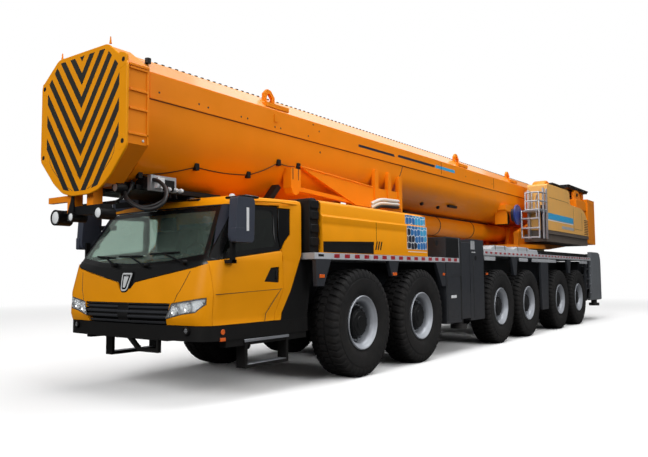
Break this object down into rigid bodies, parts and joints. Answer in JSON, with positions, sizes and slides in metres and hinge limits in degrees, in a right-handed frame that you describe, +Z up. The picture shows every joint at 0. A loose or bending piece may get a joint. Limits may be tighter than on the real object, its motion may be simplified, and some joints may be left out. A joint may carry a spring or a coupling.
{
  "type": "truck-mounted crane",
  "caption": "Six-axle truck crane with a driving cab, slewing superstructure, luffing telescopic boom and sliding outriggers, stowed for the road.",
  "frame": {"origin": "on the ground under the middle of the overall length and width", "axes": "+Z up, the truck faces -Y, +X is the truck's left side"},
  "size_m": [3, 17.1, 4],
  "materials": {
    "orange_paint": "gloss",
    "frame_paint": "satin",
    "black_plastic": "matte",
    "deck_metal": "satin",
    "tyre": "matte",
    "axle_steel": "satin",
    "cast_iron": "matte",
    "ring_steel": "satin",
    "glass": "gloss",
    "chrome": "mirror",
    "aluminium": "satin",
    "reel_blue": "gloss",
    "trim": "matte"
  },
  "bodies": {
    "carrier": {"chassis_frame": "frame_paint", "front_deck": "deck_metal", "rear_deck": "deck_metal", "axle_train": "axle_steel", "cab_shell": "orange_paint", "windscreen": "glass", "bumper": "black_plastic", "cab_interior": "trim", "engine_hood": "orange_paint", "engine_block": "cast_iron", "air_intake": "black_plastic", "slewing_ring": "ring_steel"},
    "wheel_1_left": {"wheel_1_left": "tyre"},
    "knuckle_1_left": {"knuckle_1_left": "axle_steel"},
    "wheel_1_right": {"wheel_1_right": "tyre"},
    "knuckle_1_right": {"knuckle_1_right": "axle_steel"},
    "wheel_2_left": {"wheel_2_left": "tyre"},
    "knuckle_2_left": {"knuckle_2_left": "axle_steel"},
    "wheel_2_right": {"wheel_2_right": "tyre"},
    "knuckle_2_right": {"knuckle_2_right": "axle_steel"},
    "wheel_3_left": {"wheel_3_left": "tyre"},
    "wheel_3_right": {"wheel_3_right": "tyre"},
    "wheel_4_left": {"wheel_4_left": "tyre"},
    "wheel_4_right": {"wheel_4_right": "tyre"},
    "wheel_5_left": {"wheel_5_left": "tyre"},
    "knuckle_5_left": {"knuckle_5_left": "axle_steel"},
    "wheel_5_right": {"wheel_5_right": "tyre"},
    "knuckle_5_right": {"knuckle_5_right": "axle_steel"},
    "wheel_6_left": {"wheel_6_left": "tyre"},
    "knuckle_6_left": {"knuckle_6_left": "axle_steel"},
    "wheel_6_right": {"wheel_6_right": "tyre"},
    "knuckle_6_right": {"knuckle_6_right": "axle_steel"},
    "cab_door_left": {"cab_door_left": "orange_paint"},
    "cab_door_right": {"cab_door_right": "orange_paint"},
    "outrigger_front_left": {"outrigger_front_left": "frame_paint"},
    "jack_front_left": {"jack_front_left": "axle_steel"},
    "outrigger_front_right": {"outrigger_front_right": "frame_paint"},
    "jack_front_right": {"jack_front_right": "axle_steel"},
    "outrigger_rear_left": {"outrigger_rear_left": "frame_paint"},
    "jack_rear_left": {"jack_rear_left": "axle_steel"},
    "outrigger_rear_right": {"outrigger_rear_right": "frame_paint"},
    "jack_rear_right": {"jack_rear_right": "axle_steel"},
    "superstructure": {"turntable": "orange_paint", "machine_housing_left": "orange_paint", "machine_housing_right": "orange_paint", "access_platform": "aluminium", "operator_cab": "orange_paint"},
    "operator_door": {"operator_door": "orange_paint"},
    "winch_drum": {"winch_drum": "axle_steel"},
    "boom": {"boom_base": "orange_paint"},
    "boom_middle": {"boom_middle": "orange_paint"},
    "boom_tip": {"boom_tip": "orange_paint", "head_cover": "orange_paint"},
    "cable_reel": {"cable_reel": "reel_blue"},
    "luffing_barrel": {"luffing_barrel": "orange_paint"},
    "luffing_rod": {"luffing_rod": "chrome"}
  },
  "joints": [
    {"name": "steer_1_left", "type": "hinge", "parent": "carrier", "child": "knuckle_1_left", "pos_m": [0.98, -5.08, 0.745], "axis": [0, 0, 1], "range_deg": [-33, 33]},
    {"name": "wheel_1_left_spin", "type": "hinge", "parent": "knuckle_1_left", "child": "wheel_1_left", "pos_m": [1.2775, -5.08, 0.745], "axis": [1, 0, 0], "continuous": true},
    {"name": "steer_1_right", "type": "hinge", "parent": "carrier", "child": "knuckle_1_right", "pos_m": [-0.98, -5.08, 0.745], "axis": [0, 0, 1], "range_deg": [-33.01, 33.01]},
    {"name": "wheel_1_right_spin", "type": "hinge", "parent": "knuckle_1_right", "child": "wheel_1_right", "pos_m": [-1.2775, -5.08, 0.745], "axis": [1, 0, 0], "continuous": true},
    {"name": "steer_2_left", "type": "hinge", "parent": "carrier", "child": "knuckle_2_left", "pos_m": [0.98, -3.33, 0.745], "axis": [0, 0, 1], "range_deg": [-23.5, 23.5]},
    {"name": "wheel_2_left_spin", "type": "hinge", "parent": "knuckle_2_left", "child": "wheel_2_left", "pos_m": [1.2775, -3.33, 0.745], "axis": [1, 0, 0], "continuous": true},
    {"name": "steer_2_right", "type": "hinge", "parent": "carrier", "child": "knuckle_2_right", "pos_m": [-0.98, -3.33, 0.745], "axis": [0, 0, 1], "range_deg": [-23.5, 23.5]},
    {"name": "wheel_2_right_spin", "type": "hinge", "parent": "knuckle_2_right", "child": "wheel_2_right", "pos_m": [-1.2775, -3.33, 0.745], "axis": [1, 0, 0], "continuous": true},
    {"name": "wheel_3_left_spin", "type": "hinge", "parent": "carrier", "child": "wheel_3_left", "pos_m": [1.2775, 0.14, 0.745], "axis": [1, 0, 0], "continuous": true},
    {"name": "wheel_3_right_spin", "type": "hinge", "parent": "carrier", "child": "wheel_3_right", "pos_m": [-1.2775, 0.14, 0.745], "axis": [1, 0, 0], "continuous": true},
    {"name": "wheel_4_left_spin", "type": "hinge", "parent": "carrier", "child": "wheel_4_left", "pos_m": [1.2775, 1.84, 0.745], "axis": [1, 0, 0], "continuous": true},
    {"name": "wheel_4_right_spin", "type": "hinge", "parent": "carrier", "child": "wheel_4_right", "pos_m": [-1.2775, 1.84, 0.745], "axis": [1, 0, 0], "continuous": true},
    {"name": "steer_5_left", "type": "hinge", "parent": "carrier", "child": "knuckle_5_left", "pos_m": [0.98, 4.23, 0.745], "axis": [0, 0, 1], "range_deg": [-17.62, 17.62]},
    {"name": "wheel_5_left_spin", "type": "hinge", "parent": "knuckle_5_left", "child": "wheel_5_left", "pos_m": [1.2775, 4.23, 0.745], "axis": [1, 0, 0], "continuous": true},
    {"name": "steer_5_right", "type": "hinge", "parent": "carrier", "child": "knuckle_5_right", "pos_m": [-0.98, 4.23, 0.745], "axis": [0, 0, 1], "range_deg": [-17.62, 17.62]},
    {"name": "wheel_5_right_spin", "type": "hinge", "parent": "knuckle_5_right", "child": "wheel_5_right", "pos_m": [-1.2775, 4.23, 0.745], "axis": [1, 0, 0], "continuous": true},
    {"name": "steer_6_left", "type": "hinge", "parent": "carrier", "child": "knuckle_6_left", "pos_m": [0.98, 5.96, 0.745], "axis": [0, 0, 1], "range_deg": [-27.03, 27.03]},
    {"name": "wheel_6_left_spin", "type": "hinge", "parent": "knuckle_6_left", "child": "wheel_6_left", "pos_m": [1.2775, 5.96, 0.745], "axis": [1, 0, 0], "continuous": true},
    {"name": "steer_6_right", "type": "hinge", "parent": "carrier", "child": "knuckle_6_right", "pos_m": [-0.98, 5.96, 0.745], "axis": [0, 0, 1], "range_deg": [-27.03, 27.03]},
    {"name": "wheel_6_right_spin", "type": "hinge", "parent": "knuckle_6_right", "child": "wheel_6_right", "pos_m": [-1.2775, 5.96, 0.745], "axis": [1, 0, 0], "continuous": true},
    {"name": "cab_door_left_hinge", "type": "hinge", "parent": "carrier", "child": "cab_door_left", "pos_m": [1.302, -7.76, 1.4], "axis": [0, 0, -1], "range_deg": [0, 65]},
    {"name": "cab_door_right_hinge", "type": "hinge", "parent": "carrier", "child": "cab_door_right", "pos_m": [-1.302, -7.76, 1.4], "axis": [0, 0, 1], "range_deg": [0, 65]},
    {"name": "outrigger_front_left_slide", "type": "slide", "parent": "carrier", "child": "outrigger_front_left", "axis": [1, 0, 0], "range_m": [0, 1.7]},
    {"name": "jack_front_left_slide", "type": "slide", "parent": "outrigger_front_left", "child": "jack_front_left", "axis": [0, 0, -1], "range_m": [0, 0.6]},
    {"name": "outrigger_front_right_slide", "type": "slide", "parent": "carrier", "child": "outrigger_front_right", "axis": [-1, 0, 0], "range_m": [0, 1.7]},
    {"name": "jack_front_right_slide", "type": "slide", "parent": "outrigger_front_right", "child": "jack_front_right", "axis": [0, 0, -1], "range_m": [0, 0.6]},
    {"name": "outrigger_rear_left_slide", "type": "slide", "parent": "carrier", "child": "outrigger_rear_left", "axis": [1, 0, 0], "range_m": [0, 1.7]},
    {"name": "jack_rear_left_slide", "type": "slide", "parent": "outrigger_rear_left", "child": "jack_rear_left", "axis": [0, 0, -1], "range_m": [0, 0.6]},
    {"name": "outrigger_rear_right_slide", "type": "slide", "parent": "carrier", "child": "outrigger_rear_right", "axis": [-1, 0, 0], "range_m": [0, 1.7]},
    {"name": "jack_rear_right_slide", "type": "slide", "parent": "outrigger_rear_right", "child": "jack_rear_right", "axis": [0, 0, -1], "range_m": [0, 0.6]},
    {"name": "slew", "type": "hinge", "parent": "carrier", "child": "superstructure", "pos_m": [0, 3.92, 2.02], "axis": [0, 0, 1], "continuous": true},
    {"name": "operator_door_slide", "type": "slide", "parent": "superstructure", "child": "operator_door", "axis": [0, 1, 0], "range_m": [0, 0.7]},
    {"name": "winch_spin", "type": "hinge", "parent": "superstructure", "child": "winch_drum", "pos_m": [0, 8.04, 2.86], "axis": [1, 0, 0], "continuous": true},
    {"name": "luff", "type": "hinge", "parent": "superstructure", "child": "boom", "pos_m": [0, 7.22, 3.3], "axis": [-1, 0, 0], "range_deg": [0, 78]},
    {"name": "extend_middle", "type": "slide", "parent": "boom", "child": "boom_middle", "axis": [0, -1, 0], "range_m": [0, 10]},
    {"name": "extend_tip", "type": "slide", "parent": "boom_middle", "child": "boom_tip", "axis": [0, -1, 0], "range_m": [0, 10]},
    {"name": "cable_reel_spin", "type": "hinge", "parent": "boom", "child": "cable_reel", "pos_m": [0.86, 2.82, 2.83], "axis": [1, 0, 0], "continuous": true},
    {"name": "barrel_swing", "type": "hinge", "parent": "superstructure", "child": "luffing_barrel", "pos_m": [0, 4.12, 2.455], "axis": [-1, 0, 0], "range_deg": [0, 91.37]},
    {"name": "rod_slide", "type": "slide", "parent": "luffing_barrel", "child": "luffing_rod", "axis": [0, -1, 0], "range_m": [0, 3.5599]}
  ],
  "couplings": [
    {"joint": "steer_1_right", "follows": "steer_1_left", "ratio": 1},
    {"joint": "steer_2_left", "follows": "steer_1_left", "ratio": 0.7117},
    {"joint": "steer_2_right", "follows": "steer_1_left", "ratio": 0.7117},
    {"joint": "steer_5_left", "follows": "steer_1_left", "ratio": -0.53377},
    {"joint": "steer_5_right", "follows": "steer_1_left", "ratio": -0.53377},
    {"joint": "steer_6_left", "follows": "steer_1_left", "ratio": -0.81878},
    {"joint": "steer_6_right", "follows": "steer_1_left", "ratio": -0.81878},
    {"joint": "barrel_swing", "follows": "luff", "ratio": 1.1707},
    {"joint": "rod_slide", "follows": "luff", "m_per_rad": 2.6135}
  ]
}
